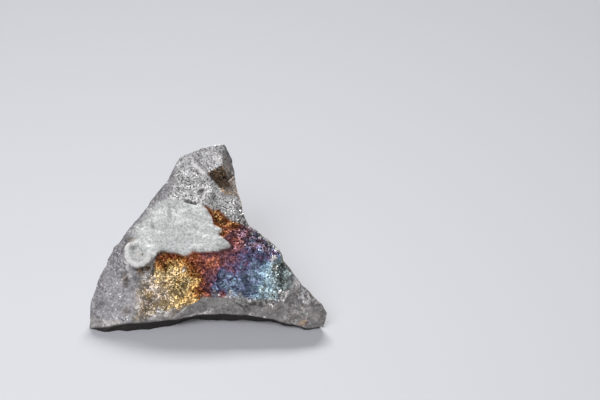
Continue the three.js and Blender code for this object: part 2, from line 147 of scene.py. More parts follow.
# ---- Ferromolybdenum lump -----------------------------------------------------------------------
# One solid piece of alloy, knocked off a cast slab. Its faces are breaks through the metal, which
# meet at the corners below, and one keeps some of the slab's casting skin. Sizes are in millimetres
# until the lump is set in its box, and the ground cuts off level what lies below it.
CORNERS = {
    # left toe, and the edge that climbs from it to the crown
    "toe_left": (-24.1, -16.9, 0), "toe_left_top": (-24.0, -14.5, 2.8),
    "left_edge1": (-22.3, -9.1, 7.6), "left_edge2": (-18.2, -2.9, 12.2),
    "left_edge3": (-13.3, 2.8, 16.2), "left_edge4": (-8.6, 7.8, 19.6),
    # crown, and the notch broken out of its right side
    "crown_left": (-6.3, 12.3, 22.5), "crown_middle": (-1.6, 13.4, 23.9), "peak": (2.8, 14.2, 24.6),
    "crown_right": (4.2, 14.1, 21.0), "crown_ridge": (-4.2, 11.1, 22.2),
    "notch_left": (-0.9, 8.9, 20.7), "notch_top": (2.4, 10.0, 21.7), "notch_right": (4.9, 11.7, 18.0),
    "notch_foot": (2.7, 4.9, 17.9), "notch_corner": (5.8, 5.0, 17.1), "notch_deep": (3.7, 10.6, 17.0),
    # edge that falls from the notch to the tip of the tail
    "right_edge1": (7.8, -0.1, 15.0), "right_edge2": (12.1, -3.5, 12.9),
    "right_edge3": (15.9, -7.9, 10.4), "right_edge4": (18.9, -11.9, 7.8),
    "tip_top": (22.9, -15.0, 5.0), "tip": (24.1, -15.7, 3.2), "toe_right": (23.0, -17.2, 0),
    "toe_right_front": (20.1, -17.5, 0),
    # front rim, and the arched edge under it
    "rim1": (-7.4, -14.8, 3.0), "rim2": (-0.6, -14.3, 6.0), "rim3": (7.6, -14.9, 6.2),
    "rim4": (13.6, -14.8, 5.6), "rim5": (18.7, -14.9, 4.4),
    "arch_left": (-19.4, -17.9, 1.2), "arch1": (-15.7, -17.8, 1.9), "arch2": (-8.6, -17.2, 1.9),
    "arch3": (-0.6, -15.8, 2.4), "arch4": (7.5, -15.6, 2.4), "arch5": (13.8, -16.7, 1.5),
    # the slope: the plateau under the casting skin, and the broken face in front of it
    "plateau_front_left": (-10.5, -7.1, 12.0), "plateau_front_right": (4.6, -6.2, 12.6),
    "plateau_back_left": (-10.4, 4.1, 17.9), "plateau_back_right": (-1.0, 1.8, 17.2),
    "tongue": (3.1, -2.8, 14.4), "bulge": (-16.7, -6.8, 9.2), "flank": (-18.5, -11.5, 5.6),
    "slope1": (-11.9, -11.4, 6.8), "slope2": (-0.7, -10.2, 9.2), "slope3": (9.5, -8.5, 10.5),
    # steep sides and back
    "side_left1": (-20.0, -5.1, 6.0), "side_left2": (-16.0, 3.9, 9.0), "back1": (-10.4, 12.0, 14.0),
    "back2": (-2.6, 16.6, 14.5), "back_ledge": (1.4, 17.6, 6.5), "side_right1": (5.4, 11.2, 13.0),
    "side_right2": (7.6, 2.9, 8.0), "side_right3": (13.8, -5.6, 6.0),
    # foot, all round the ground
    "foot_left1": (-21.5, -9.1, -0.8), "foot_left2": (-17.5, 0.4, -0.4),
    "foot_left3": (-13.0, 8.4, -0.8), "foot_back1": (-7.4, 14.8, -0.8),
    "foot_back2": (1.6, 18.4, -0.8), "foot_right1": (6.4, 10.6, -0.8),
    "foot_right2": (8.5, 1.4, -0.2), "foot_right3": (15.0, -6.6, -0.4),
    "foot_right4": (20.0, -12.6, -0.8),
    # foot of the undercut, below the arched edge
    "foot_front1": (-21.6, -18.0, -0.2), "foot_front2": (-16.3, -17.7, -0.2),
    "foot_front3": (-8.6, -16.4, -0.2), "foot_front4": (-2.4, -14.7, 0.1),
    "foot_front5": (6.4, -14.4, 0.1), "foot_front6": (14.0, -15.2, -0.2),
    # sole
    "sole1": (-15.0, -12.6, -0.8), "sole2": (-7.0, -10.6, 0.9), "sole3": (4.0, -10.1, 1.0),
    "sole4": (13.0, -12.6, -0.8), "sole_middle1": (-9.0, -1.6, 1.0), "sole_middle2": (6.0, -2.6, 1.0),
    "sole_back": (-2.0, 7.4, -0.5),
}

# Faces of the break, each three corners in the order that makes it face out.
FACES = """
# left flank, from the toe to the plateau
toe_left foot_front1 arch_left | toe_left arch_left toe_left_top | toe_left_top arch_left arch1
toe_left_top arch1 flank | toe_left_top flank left_edge1 | arch1 arch2 rim1 | arch1 rim1 slope1
arch1 slope1 flank | flank slope1 bulge | flank bulge left_edge1 | left_edge1 bulge left_edge2
slope1 plateau_front_left bulge | bulge plateau_front_left left_edge2
left_edge2 plateau_front_left left_edge3 | plateau_front_left plateau_back_left left_edge3
left_edge3 plateau_back_left left_edge4 | plateau_back_left crown_ridge left_edge4
left_edge4 crown_ridge crown_left
# crown
plateau_back_left plateau_back_right notch_left | plateau_back_left notch_left crown_ridge
crown_left crown_ridge crown_middle | crown_ridge notch_left notch_top
crown_ridge notch_top crown_middle | crown_middle notch_top peak | peak notch_top crown_right
notch_top notch_right crown_right
# notch, and the ground between it and the right edge
notch_left notch_deep notch_top | notch_left notch_foot notch_deep | notch_top notch_deep notch_right
notch_deep notch_foot notch_corner | notch_deep notch_corner notch_right
notch_left plateau_back_right notch_foot | notch_foot plateau_back_right tongue
notch_foot tongue right_edge1 | notch_foot right_edge1 notch_corner
# plateau
plateau_back_left plateau_front_left plateau_front_right
plateau_back_left plateau_front_right plateau_back_right | plateau_back_right plateau_front_right tongue
tongue plateau_front_right right_edge2 | tongue right_edge2 right_edge1
# broken face in front of the plateau, down to the rim
plateau_front_left slope1 slope2 | plateau_front_left slope2 plateau_front_right
plateau_front_right slope2 slope3 | plateau_front_right slope3 right_edge2
slope3 right_edge3 right_edge2 | slope1 rim1 rim2 | slope1 rim2 slope2 | slope2 rim2 rim3
slope2 rim3 slope3 | slope3 rim3 rim4 | slope3 rim4 right_edge4 | slope3 right_edge4 right_edge3
rim4 rim5 right_edge4 | rim5 tip_top right_edge4
# rim
arch2 arch3 rim2 | arch2 rim2 rim1 | arch3 arch4 rim3 | arch3 rim3 rim2 | arch4 arch5 rim4
arch4 rim4 rim3 | arch5 toe_right_front rim5 | arch5 rim5 rim4 | toe_right_front toe_right tip
toe_right_front tip rim5 | rim5 tip tip_top
# undercut
foot_front1 foot_front2 arch_left | arch_left foot_front2 arch1 | foot_front2 foot_front3 arch1
arch1 foot_front3 arch2 | foot_front3 foot_front4 arch2 | arch2 foot_front4 arch3
foot_front4 foot_front5 arch3 | arch3 foot_front5 arch4 | foot_front5 foot_front6 arch4
arch4 foot_front6 arch5 | foot_front6 toe_right_front arch5
# left side
toe_left toe_left_top foot_left1 | toe_left_top left_edge1 side_left1
toe_left_top side_left1 foot_left1 | left_edge1 left_edge2 side_left1 | side_left1 foot_left2 foot_left1
left_edge2 side_left2 side_left1 | side_left1 side_left2 foot_left2 | left_edge2 left_edge3 side_left2
side_left2 foot_left3 foot_left2 | left_edge3 left_edge4 back1 | left_edge3 back1 side_left2
side_left2 back1 foot_left3
# back
left_edge4 crown_left back1 | back1 foot_back1 foot_left3 | crown_left crown_middle back2
crown_left back2 back1 | back1 back2 foot_back1 | crown_middle peak back2 | back2 back_ledge foot_back1
back_ledge foot_back2 foot_back1 | peak side_right1 back2 | back2 side_right1 back_ledge
back_ledge side_right1 foot_back2 | peak crown_right side_right1 | side_right1 foot_right1 foot_back2
crown_right notch_right side_right1
# right side
notch_right notch_corner side_right2 | notch_right side_right2 side_right1
side_right1 side_right2 foot_right1 | notch_corner right_edge1 side_right2
side_right2 foot_right2 foot_right1 | right_edge1 right_edge2 side_right2
right_edge2 side_right3 side_right2 | side_right2 side_right3 foot_right2
right_edge2 right_edge3 side_right3 | side_right3 foot_right3 foot_right2
right_edge3 right_edge4 side_right3 | right_edge4 foot_right4 side_right3
side_right3 foot_right4 foot_right3 | right_edge4 tip_top foot_right4 | tip_top tip foot_right4
tip toe_right foot_right4
# sole
toe_left sole1 foot_front1 | foot_front1 sole1 foot_front2 | toe_left foot_left1 sole1
foot_front2 sole1 foot_front3 | foot_front3 sole1 sole2 | foot_front3 sole2 foot_front4
foot_front4 sole2 sole3 | foot_front4 sole3 foot_front5 | foot_front5 sole3 sole4
foot_front5 sole4 foot_front6 | foot_front6 sole4 toe_right_front | toe_right_front sole4 foot_right4
toe_right_front foot_right4 toe_right | sole1 foot_left1 foot_left2 | sole1 foot_left2 sole_middle1
sole1 sole_middle1 sole2 | sole2 sole_middle1 sole_middle2 | sole2 sole_middle2 sole3
sole3 sole_middle2 sole4 | sole4 sole_middle2 foot_right3 | sole4 foot_right3 foot_right4
sole_middle2 foot_right2 foot_right3 | sole_middle1 foot_left2 foot_left3
sole_middle1 sole_back sole_middle2 | sole_middle2 sole_back foot_right2
sole_back foot_right1 foot_right2 | sole_middle1 foot_left3 sole_back | sole_back foot_left3 foot_back1
sole_back foot_back1 foot_back2 | sole_back foot_back2 foot_right1
"""

STEPS_PER_FACE = 36             # small triangles along each side of a face, about 0.2 mm each
SOFTENING_ROUNDS = 9            # rounds the edges between faces to about a quarter of a millimetre
LOOSEN = 0.5                    # share of the way to its neighbours that a point moves in a round


def cut_into_triangles(places, faces, steps):
    """Each face is a grid of points ((n - i - j) A + i B + j C) / n, where i and j run from 0 and
    i + j stays within n. Points that faces share are made one by their rounded place."""
    i, j = (grid.ravel() for grid in np.meshgrid(*[np.arange(steps + 1)] * 2, indexing="ij"))
    i, j = i[i + j <= steps], j[i + j <= steps]
    shares = np.stack([steps - i - j, i, j], axis=1) / steps
    points = np.einsum("pk,fkx->fpx", shares, places[faces])
    number = np.zeros((steps + 2, steps + 2), int)
    number[i, j] = np.arange(len(i))
    lower = np.stack([number[i, j], number[i + 1, j], number[i, j + 1]], axis=1)
    inner = i + j < steps
    lower = lower[inner]
    far = i + j < steps - 1
    upper = np.stack([number[i[far] + 1, j[far]], number[i[far] + 1, j[far] + 1],
                      number[i[far], j[far] + 1]], axis=1)
    grid = np.concatenate([lower, upper])
    triangles = grid[None] + np.arange(len(faces))[:, None, None] * len(i)
    shared, index = np.unique(np.round(points.reshape(-1, 3), 4), axis=0, return_inverse=True)
    return shared, index.reshape(-1)[triangles.reshape(-1, 3)]


def soften(points, triangles, rounds):
    """Each round moves every point part of the way to the middle of its neighbours."""
    start, end = np.concatenate([triangles[:, [0, 1]], triangles[:, [1, 2]], triangles[:, [2, 0]]]).T
    count = np.bincount(start, minlength=len(points))[:, None]
    for _ in range(rounds):
        total = [np.bincount(start, points[end, axis], len(points)) for axis in range(3)]
        points = (1.0 - LOOSEN) * points + LOOSEN * np.stack(total, axis=1) / count
    return points


def outward_directions(points, triangles):
    """At each point, the unit sum of the cross products of the sides of its triangles."""
    a, b, c = (points[triangles[:, k]] for k in range(3))
    area = np.cross(b - a, c - a)
    total = np.zeros_like(points)
    for axis in range(3):
        for k in range(3):
            total[:, axis] += np.bincount(triangles[:, k], area[:, axis], len(points))
    return total / np.linalg.norm(total, axis=1, keepdims=True)


corner_names = list(CORNERS)
corner_places = np.array(list(CORNERS.values()), float)
face_lines = [line for line in FACES.splitlines() if line and not line.startswith("#")]
face_names = [face.strip() for line in face_lines for face in line.split("|")]
face_corners = np.array([[corner_names.index(name) for name in face.split()] for face in face_names])
points, triangles = cut_into_triangles(corner_places, face_corners, STEPS_PER_FACE)
points = soften(points, triangles, SOFTENING_ROUNDS)

# Large shell-shaped scoops of the break, each the mark of a ball pressed in: centre, then radius.
SCOOPS = [
    ((-30.5, 9.5, 9.0), 16.0),      # left side
    ((-12.5, 23.5, 17.0), 11.5),    # left of the back
    ((3.5, 33.0, 17.0), 17.2),      # back
    ((13.5, 18.4, 19.0), 10.0),     # right of the back, under the peak
    ((20.5, 6.9, 5.0), 12.6),       # hollow of the right side
    ((-1.0, -3.6, -18.5), 19.6),    # sole
]
for centre, radius in SCOOPS:
    reach = points - centre
    far = np.linalg.norm(reach, axis=1, keepdims=True)
    points = np.where(far < radius, centre + reach * radius / far, points)

# The uneven surface of the break, coarse to fine: smooth swells, shallow shells with ridges between
# them, and broken crystals. Each has a length or width, a height or depth, and a seed.
SWELLS = [(7.0, 0.42, 11), (3.1, 0.20, 23), (1.5, 0.11, 37)]
SHELLS = [(5.2, 0.75, 53), (2.3, 0.28, 61)]
CRYSTALS = [(1.2, 0.16, 71), (0.6, 0.11, 83)]
CRUMPLES = [(1.3, 0.09, 97), (0.6, 0.06, 101)]
STREAK = np.array((0.71, -0.57, -0.42))    # the way the break ran, along which its grain is drawn out
STRETCH = 0.4                   # by this share of its length
MIDDLE_SHIFT = 0.45             # how far a shell's or crystal's middle strays, in its widths
SKIN_CALM = 0.25                # share of the roughness that is left on the casting skin
CROWN_CALM = 0.4                # on the even slope under the crown
FLANK_CALM = 0.35               # and on the even flank at the left
BACK_ROUGHER = 0.9              # how much deeper the shells of the back are
MEAN_SHELL_DEPTH = 0.7          # taken off, so that shells and crystals don't shrink or swell the lump
MEAN_CRYSTAL_HEIGHT = 0.25


def smoothstep(low, high, x):
    """t^2 (3 - 2t), where t goes from 0 at low to 1 at high. With low above high it falls."""
    t = np.clip((x - low) / (high - low), 0.0, 1.0)
    return t * t * (3.0 - 2.0 * t)


def bell(x):
    """exp(-x^2)"""
    return np.exp(-x * x)


def lattice_number(cell, seed):
    """A repeatable number from -1 to 1 for each whole lattice point."""
    s = np.sin(cell @ (127.1, 311.7, 74.7) + seed * 19.19) * 43758.5453
    return (s - np.floor(s)) * 2.0 - 1.0


def lattice_vector(cell, seed):
    """Three lattice numbers, from three seeds in a row."""
    return np.stack([lattice_number(cell, seed + k) for k in range(3)], axis=1)


def swell(points, length, seed):
    """Smooth noise: lattice numbers one length apart, blended along each axis by t^2 (3 - 2t)."""
    cell = np.floor(points / length)
    part = points / length - cell
    part = part * part * (3.0 - 2.0 * part)
    total = np.zeros(len(points))
    for corner in np.ndindex(2, 2, 2):
        share = np.prod(np.where(corner, part, 1.0 - part), axis=1)
        total += share * lattice_number(cell + corner, seed)
    return total


def near_middles(points, width, seed):
    """For each of the 27 lattice cells round every point: the cell, and the point's place in widths
    from that cell's own middle, which strays from its centre by MIDDLE_SHIFT times a lattice vector."""
    cell = np.floor(points / width)
    for step in np.ndindex(3, 3, 3):
        near = cell + step - 1.0
        yield near, points / width - (near + 0.5 + MIDDLE_SHIFT * lattice_vector(near, seed))


def shell_depth(points, width, seed):
    """1 - r^2, where r is the distance to the nearest cell middle: bowls with ridges between them."""
    nearest = np.ones(len(points))
    for _, away in near_middles(points, width, seed):
        nearest = np.minimum(nearest, (away ** 2).sum(axis=1))
    return 1.0 - nearest


def crystal_height(points, width, seed, tilt=1.1):
    """The highest of nearby tilted domes, tilt . r - r^2, each round its own cell middle. Sharp
    valleys run where two of them meet."""
    highest = np.full(len(points), -np.inf)
    for near, away in near_middles(points, width, seed):
        dome = (away * (tilt * lattice_vector(near, seed + 3) - away)).sum(axis=1)
        highest = np.maximum(highest, dome)
    return highest


for length, height, seed in SWELLS:
    push = np.stack([swell(points, length, seed + k) for k in range(3)], axis=1)
    points = points + height * push
outward = outward_directions(points, triangles)

# The casting skin is the pale sheet where the metal froze against its mould. It stands as a low
# plateau on the slope. From above, its ragged edge runs along the front, up the right and behind.
# The plateau's outline is closed beyond the left side.
SKIN_SIDES = [
    (-10.5, -7.2), (-8.7, -6.8), (-6.7, -6.7), (-4.6, -7.1), (-1.7, -7.1), (1.9, -7.0), (4.6, -6.1),
    (2.1, -4.0), (2.6, -2.6), (0.8, -1.9), (0.5, 0.2), (-0.7, 1.2), (-1.4, 1.7), (-2.8, 1.9),
]
SKIN_EDGE = np.array([(-12.3, -8.2), *SKIN_SIDES, (-4.9, 2.6), (-15, 8.4), (-27, -0.6), (-27, -8.6)])
SKIN_STEP = 0.7                 # height of the skin above the broken metal
SKIN_STEP_WIDTH = 0.45
SKIN_FADE = 5.0                 # distance over which the broken face climbs back to that level
RAGGED_LENGTH, RAGGED_REACH, RAGGED_SEED = 1.6, 0.35, 41


def distance_to_outline(plan, outline):
    """The distance from each plan point to the nearest side of a closed outline, negative inside."""
    nearest = np.full(len(plan), np.inf)
    inside = np.zeros(len(plan), bool)
    for start, end in zip(outline, np.roll(outline, -1, axis=0)):
        side, away = end - start, plan - start
        along = np.clip(away @ side / (side @ side), 0.0, 1.0)
        nearest = np.minimum(nearest, np.linalg.norm(away - along[:, None] * side, axis=1))
        level = (start[1] > plan[:, 1]) != (end[1] > plan[:, 1])
        inside ^= level & (away[:, 0] < away[:, 1] * side[0] / (side[1] or 1.0))
    return np.where(inside, -nearest, nearest)


def ragged(points, length, reach, seed):
    """Plan points moved up to reach by noise, which makes an outline read from them ragged."""
    return points[:, :2] + reach * np.stack([swell(points, length, seed + k) for k in range(2)], axis=1)


off_skin = distance_to_outline(ragged(points, RAGGED_LENGTH, RAGGED_REACH, RAGGED_SEED), SKIN_EDGE)
faces_up = smoothstep(0.1, 0.4, outward[:, 2])
right_of_bubble = smoothstep(-16.5, -12.5, points[:, 0])
in_front_of_crown = smoothstep(1.8, 0.0, points[:, 1])
away_from_skin = np.exp(-np.maximum(off_skin, 0) / SKIN_FADE)
away_from_skin *= faces_up * right_of_bubble * in_front_of_crown
on_skin = smoothstep(0.5, -1.0, off_skin) * faces_up
sink = SKIN_STEP * smoothstep(0.0, SKIN_STEP_WIDTH, off_skin) * away_from_skin
shell_roughness = 1.0 - (1.0 - SKIN_CALM) * on_skin
shell_roughness += BACK_ROUGHER * smoothstep(0.2, 0.7, outward[:, 1])
shell_roughness *= 1.0 - (1.0 - CROWN_CALM) * smoothstep(15.0, 18.0, points[:, 2]) * faces_up
shell_roughness *= 1.0 - (1.0 - FLANK_CALM) * smoothstep(-12.0, -15.0, points[:, 0]) * faces_up
for width, depth, seed in SHELLS:
    sink += depth * shell_roughness * (shell_depth(points, width, seed) - MEAN_SHELL_DEPTH)

# A burst gas bubble left of the skin's front corner: a raised lip, open towards the crown, round a pit
# with a low dome on its floor. The skin runs over the right of the pit.
BUBBLE_CENTRE = np.array((-14.3, -6.0, 10.9))
LIP_RADIUS, LIP_WIDTH, LIP_HEIGHT = 2.4, 0.75, 0.4
PIT_RADIUS, PIT_DEPTH = 2.0, 0.9
DOME_CENTRE, DOME_WIDTH, DOME_HEIGHT = (-14.5, -6.3, 10.8), 0.9, 0.8
OPEN_SIDE = np.array((0.5, 0.87))           # unit directions, seen from above
SKIN_SIDE = np.array((0.85, 0.53))
SKIN_REACH = 0.15               # how far from the centre the skin stops, in radii of the lip
from_bubble = np.linalg.norm(points - BUBBLE_CENTRE, axis=1)
in_plan = (points - BUBBLE_CENTRE)[:, :2] / LIP_RADIUS
ragged_lip = from_bubble - LIP_RADIUS + 0.25 * swell(points, 0.9, 241)
lip = smoothstep(0.6, 0.1, in_plan @ OPEN_SIDE) * bell(ragged_lip / LIP_WIDTH)
inside_skin = in_plan @ SKIN_SIDE + 0.1 * swell(points, 0.7, 251) - SKIN_REACH
open_pit = 1.0 - smoothstep(-0.1, 0.1, inside_skin)
pit = smoothstep(PIT_RADIUS, PIT_RADIUS / 2, from_bubble) * open_pit
dome = bell(np.linalg.norm(points - DOME_CENTRE, axis=1) / DOME_WIDTH) * open_pit
sink += PIT_DEPTH * pit - LIP_HEIGHT * lip - DOME_HEIGHT * dome

# Grooves and pits: where each starts and ends, its width and its depth. A negative depth is a ridge.
HOLLOWS = [
    ((15.4, -7.6, 10.8), (15.3, -13.0, 7.4), 0.9, 0.7),     # groove down the tail
    ((13.1, -8.0, 10.8), (13.8, -11.0, 9.0), 0.7, -0.3),    # ridge beside it
    ((-5.0, 3.0, 17.6), (-3.1, 2.6, 17.2), 0.35, 0.5),      # crack behind the skin
    ((-3.7, 11.2, 22.3), (-1.2, 8.9, 20.6), 0.6, -0.15),    # ridge left of the notch
    ((-12.5, -9.4, 9.4), (-12.5, -9.4, 9.4), 0.9, 0.6),     # pits of the slope and the rim
    ((-17.3, -9.9, 7.2), (-17.3, -9.9, 7.2), 0.8, 0.25),
    ((11.0, -15.0, 5.4), (11.0, -15.0, 5.4), 0.9, 0.5),
    ((16.7, -15.2, 4.8), (16.7, -15.2, 4.8), 0.8, 0.45),
]


def distance_to_line(points, start, end):
    """The distance from each point to the line between two places."""
    side, away = np.subtract(end, start), points - start
    along = np.clip(away @ side / (side @ side or 1.0), 0.0, 1.0)
    return np.linalg.norm(away - along[:, None] * side, axis=1)


for start, end, width, depth in HOLLOWS:
    sink += depth * bell(distance_to_line(points, start, end) / width)

# Places where the metal is matt and smooth instead of glittering: the left side with the strip of
# the slope beside it, the flank above the toe, the rim, and in part the tail. The back and the right
# side are evenly dulled. The two outlines are seen from above.
LEFT_SIDE = np.array([
    (-20.6, -18.0), (-20.4, -13.5), (-20.6, -9.6), (-16.6, -6.0), (-13.0, -3.0), (-10.8, 0.4),
    (-8.6, 4.2), (-7.8, 7.0), (-6.8, 10.0), (-6.4, 12.6), (-10, 22), (-40, 22), (-40, -18),
])
FLANK = np.array([
    (-24, -18.5), (-24, -9), (-19.5, -5.5), (-16.6, -7.6), (-12.9, -8.8), (-14.4, -12), (-13.2, -18.5),
])
RIM_TOP = ("arch1", "rim1", "rim2", "rim3", "rim4", "rim5")
ARCH = ("toe_left", "arch_left", "arch1", "arch2", "arch3", "arch4", "arch5", "toe_right")
LOWEST_IN_NOTCH = "notch_deep notch_foot notch_corner"
IN_NOTCH = ("notch_left notch_deep notch_top", "notch_left notch_foot notch_deep", LOWEST_IN_NOTCH)
BESIDE_NOTCH = ("peak notch_top crown_right", "notch_top notch_right crown_right",
                "notch_top notch_deep notch_right", "notch_deep notch_corner notch_right")
BACK_RIGHT = (0.6, 0.8, 0.0)


def height_over(names):
    """How far each point lies above the line through these corners, at its own x."""
    places = np.array([CORNERS[name] for name in names])
    return points[:, 2] - np.interp(points[:, 0], places[:, 0], places[:, 2])


def share_of_faces(names):
    """For each point, the share of the triangles round it that belong to the named faces."""
    wanted = [index for index, face in enumerate(face_names) if face in names]
    chosen = np.isin(np.arange(len(triangles)) // STEPS_PER_FACE ** 2, wanted)
    round_it = np.bincount(triangles.ravel(), minlength=len(points))
    return np.bincount(triangles.ravel(), np.repeat(chosen, 3), len(points)) / round_it


side = smoothstep(0.9, -0.9, distance_to_outline(ragged(points, 2.5, 0.5, 151), LEFT_SIDE))
flank = smoothstep(2.2, -1.2, distance_to_outline(ragged(points, 2.0, 0.8, 161), FLANK)) * faces_up
rim = smoothstep(0.35, -0.25, height_over(RIM_TOP) + 0.25 * swell(points, 1.2, 191))
rim *= smoothstep(-12.5, -13.5, points[:, 1])
undercut = smoothstep(0.3, -0.1, height_over(ARCH)) * smoothstep(-11.5, -12.5, points[:, 1])
# the top of the rim glitters between its middle and its right end
glittering_rim = rim * smoothstep(5.0, 7.5, points[:, 0]) * smoothstep(14.5, 12.5, points[:, 0])
glittering_rim *= smoothstep(3.6, 4.8, points[:, 2])
tail = smoothstep(13.0, 17.0, points[:, 0])
# the front left corner of the tarnish, where it thins out to straw
straw_corner = smoothstep(-6.5, -11.0, points[:, 0]) * smoothstep(-8.0, -10.0, points[:, 1])
crown = smoothstep(20.3, 21.5, points[:, 2])
notch = share_of_faces(IN_NOTCH)
notch_lip = bell(distance_to_line(points, CORNERS["notch_foot"], CORNERS["notch_corner"]) / 0.7)
hidden = smoothstep(0.1, 0.5, outward @ BACK_RIGHT) * (1.0 - notch)
# how matt each place is, out of 1
matt = np.maximum.reduce([
    side, notch_lip, 0.85 * flank, 0.7 * hidden, 0.7 * rim * (1.0 - 0.8 * glittering_rim), 0.6 * tail,
    0.35 * crown, 0.3 * straw_corner,
])
# the slope under the crown is bright and fine-grained
under_crown = smoothstep(14.5, 17.5, points[:, 2]) * faces_up * (1.0 - side) * (1.0 - notch)

# Fine grain of the break, drawn out along the way it ran, and the crumpled face of the skin.
drawn_out = points - STRETCH * (points @ STREAK)[:, None] * STREAK
crystal = np.zeros(len(points))
for width, height, seed in CRYSTALS:
    crystal += height * (crystal_height(drawn_out, width, seed) - MEAN_CRYSTAL_HEIGHT)
crumple = np.zeros(len(points))
for length, height, seed in CRUMPLES:
    crumple += height * (1.0 - 2.0 * np.abs(swell(points, length, seed)))
grain = (1.0 - 0.9 * on_skin) * (1.0 - 0.8 * matt) * (1.0 - 0.88 * under_crown)
sink -= grain * crystal + on_skin * crumple
bumpy = points - outward * sink[:, None]

# Heat tarnish: an oxide film on the break in front of the skin. Its thickness, from 0 to 1, sets its
# colour, and it is worked out as the mean of these places (x, y, reach, thickness), near ones most.
TARNISH_EDGE = np.array([
    (-14.0, -16.8), (-14.2, -14.0), (-13.9, -11.0), (-12.2, -9.6), (-11.1, -8.5), (-10.5, -7.0),
    (-8.0, -6.2), (-1.0, -6.5), (3.5, -5.6), (1.6, -4.1), (0.0, -1.9), (-0.5, 0.5), (-1.5, 1.5),
    (-0.2, 1.7), (1.7, 1.6), (3.0, 1.0), (4.4, 0.0), (6.2, -0.8), (8.4, -1.5), (9.9, -2.6),
    (11.1, -3.7), (12.4, -4.7), (13.4, -6.0), (15.0, -7.6), (16.9, -9.8), (17.6, -11.0),
    (16.4, -12.9), (14.6, -13.6), (13.0, -17.0), (-9.8, -18.5),
])
FILM_PLACES = [
    # straw and gold, on the left
    (-12.7, -12.1, 2.0, 0.05), (-11.0, -14.3, 2.0, 0.07), (-8.6, -12.8, 2.0, 0.12),
    (-7.5, -10.4, 2.0, 0.17), (-5.1, -11.9, 2.0, 0.20), (-4.1, -14.0, 1.8, 0.22),
    (-5.2, -8.8, 1.0, 0.29), (-3.0, -9.9, 0.8, 0.34), (-2.7, -11.2, 0.8, 0.33),
    (-2.7, -12.6, 0.7, 0.33),
    # brown and red, under the edge of the skin and across the slope
    (-9.8, -7.6, 1.2, 0.36), (-9.2, -6.6, 1.2, 0.37), (-7.1, -7.0, 1.4, 0.37), (-4.0, -7.3, 1.4, 0.38),
    (-8.8, -8.3, 1.0, 0.36), (-6.6, -8.2, 1.1, 0.36), (-3.6, -8.6, 1.1, 0.38),
    (-2.0, -13.9, 0.9, 0.39), (-2.2, -8.5, 0.9, 0.41), (0.7, -8.7, 1.0, 0.43),
    (-0.9, -7.1, 1.0, 0.48), (0.9, -7.2, 0.8, 0.52), (-0.9, -12.9, 1.0, 0.47),
    (-0.7, -10.3, 1.2, 0.49), (2.8, -14.0, 0.5, 0.48),
    # purple and blue
    (2.9, -7.1, 1.0, 0.56), (5.2, -6.8, 1.2, 0.61), (5.0, -8.9, 1.2, 0.64), (6.9, -8.2, 1.2, 0.68),
    (1.6, -11.8, 1.2, 0.68), (3.0, -12.4, 1.4, 0.74), (6.5, -12.4, 1.8, 0.76), (8.9, -11.1, 1.8, 0.78),
    # pale blue and green grey, on the right
    (10.8, -9.8, 1.3, 0.83), (11.2, -11.9, 1.3, 0.89), (12.0, -14.0, 1.3, 0.93),
    (13.2, -9.9, 1.2, 0.96), (15.6, -10.6, 2.0, 1.00),
    # right of the skin, from brown at its edge to blue
    (0.3, 1.2, 1.0, 0.37), (1.5, -0.3, 0.9, 0.35), (4.4, -1.2, 1.1, 0.34), (3.1, -2.7, 0.7, 0.33),
    (4.8, -3.1, 1.0, 0.57), (4.6, -4.6, 0.9, 0.53), (6.0, -4.9, 0.8, 0.49), (7.8, -3.3, 1.0, 0.64),
    (10.4, -4.8, 1.8, 0.70), (12.2, -6.8, 1.5, 0.69), (9.4, -6.6, 1.8, 0.69),
]
LEAST_SHARE = 1e-12             # so that a point far from every place still has a mean
plan = ragged(points, 1.1, 0.5, 131)
film_share = np.zeros(len(points))
film_total = np.zeros(len(points))
for x, y, reach, thickness in FILM_PLACES:
    share = np.exp(-((plan - (x, y)) ** 2).sum(axis=1) / reach ** 2) + LEAST_SHARE
    film_share += share
    film_total += share * thickness
film = film_total / film_share + 0.05 * swell(points, 1.3, 211) + 0.04 * swell(points, 0.6, 221)
tarnish_softness = 0.35 + 0.9 * smoothstep(-11.0, -13.0, points[:, 0])
tarnish = distance_to_outline(ragged(points, 0.9, 0.6, 141), TARNISH_EDGE)
tarnish = smoothstep(tarnish_softness, -tarnish_softness, tarnish) * faces_up * (1.0 - rim)

# The back and the right side carry a little straw tarnish and rust. In front, the film is worn off in
# patches (x, y, reach).
HIDDEN_FILM, HIDDEN_TARNISH, HIDDEN_RUST = 0.2, 0.4, 0.35
WORN = 0.8                      # share of the film that is gone in the middle of a patch
BLOTCHINESS = 0.8               # how much blotches break up the edge of a spot
film += hidden * (HIDDEN_FILM + 0.12 * swell(points, 3.0, 291) - film)
tarnish = np.maximum(tarnish, HIDDEN_TARNISH * hidden * smoothstep(0.0, 0.5, swell(points, 6.0, 281)))
blotch = 0.5 + 0.5 * swell(points, 0.7, 181)
BARE_PATCHES = [
    (1.3, -13.9, 0.7), (2.0, -14.2, 0.6), (4.6, -13.9, 0.9), (6.4, -14.2, 0.7),
    (-5.2, -9.4, 0.5), (13.1, -8.0, 1.1), (13.5, -9.8, 1.0), (8.6, -2.4, 0.7),
]
for x, y, reach in BARE_PATCHES:
    far = np.hypot(points[:, 0] - x, points[:, 1] - y) / reach
    tarnish *= 1.0 - WORN * smoothstep(1.4, 0.6, far + 0.7 * blotch)


def spots(places, outer=1.4, inner=0.4):
    """The greatest of strength * smoothstep(outer, inner, distance / reach) over all the places
    (x, y, z, reach, strength), with blotches that break up each edge."""
    strongest = np.zeros(len(points))
    for x, y, z, reach, strength in places:
        far = np.linalg.norm((points - (x, y, z)) / reach, axis=1) + BLOTCHINESS * (blotch - 0.5)
        strongest = np.maximum(strongest, strength * smoothstep(outer, inner, far))
    return strongest


